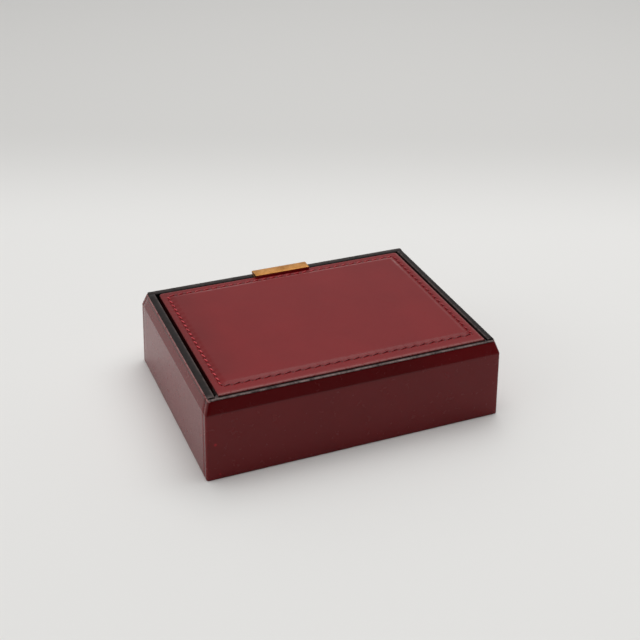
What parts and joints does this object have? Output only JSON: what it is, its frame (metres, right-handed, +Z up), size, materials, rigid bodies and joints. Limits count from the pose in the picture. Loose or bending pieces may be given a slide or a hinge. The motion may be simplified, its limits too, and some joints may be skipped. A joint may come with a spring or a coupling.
{
  "type": "playing card box",
  "caption": "Low rectangular card box in burgundy leather with a black rim, a padded stitched lid on a leather hinge, a brass pull and two card wells.",
  "frame": {"origin": "on the floor under the middle of the case", "axes": "+X along the case, +Y to the front where the brass pull is, the hinge along the back at -Y, +Z up"},
  "size_m": [0.15, 0.1124, 0.0434],
  "materials": {
    "wood": "bare",
    "burgundy_leather": "glazed, semi-gloss",
    "lid_leather": "smooth, satin",
    "black_leather": "smooth, satin",
    "liner_board": "covered in black suede paper",
    "suede": "matt nap",
    "base_felt": "matt felt",
    "padding": "soft wadding",
    "brass": "brushed, slightly worn"
  },
  "bodies": {
    "case": {"back_leather": "burgundy_leather", "back_liner": "liner_board", "back_recess_strip": "black_leather", "back_wall": "wood", "base_cover": "base_felt", "divider": "liner_board", "floor_board": "wood", "front_leather": "burgundy_leather", "front_liner": "liner_board", "front_rim": "black_leather", "front_wall": "wood", "hinge_leather": "black_leather", "left_leather": "burgundy_leather", "left_liner": "liner_board", "left_rim": "black_leather", "left_wall": "wood", "left_well_lining": "suede", "right_leather": "burgundy_leather", "right_liner": "liner_board", "right_rim": "black_leather", "right_wall": "wood", "right_well_lining": "suede"},
    "lid": {"lid_board": "wood", "lid_padding": "padding", "lid_leather": "lid_leather", "lid_lining": "suede", "tab_tongue": "black_leather", "tab_clip": "brass"}
  },
  "joints": [
    {"name": "lid_hinge", "type": "hinge", "parent": "case", "child": "lid", "pos_m": [0, -0.0512, 0.0414], "axis": [1, 0, 0], "range_deg": [0, 105], "deforming": ["hinge_leather"]}
  ]
}
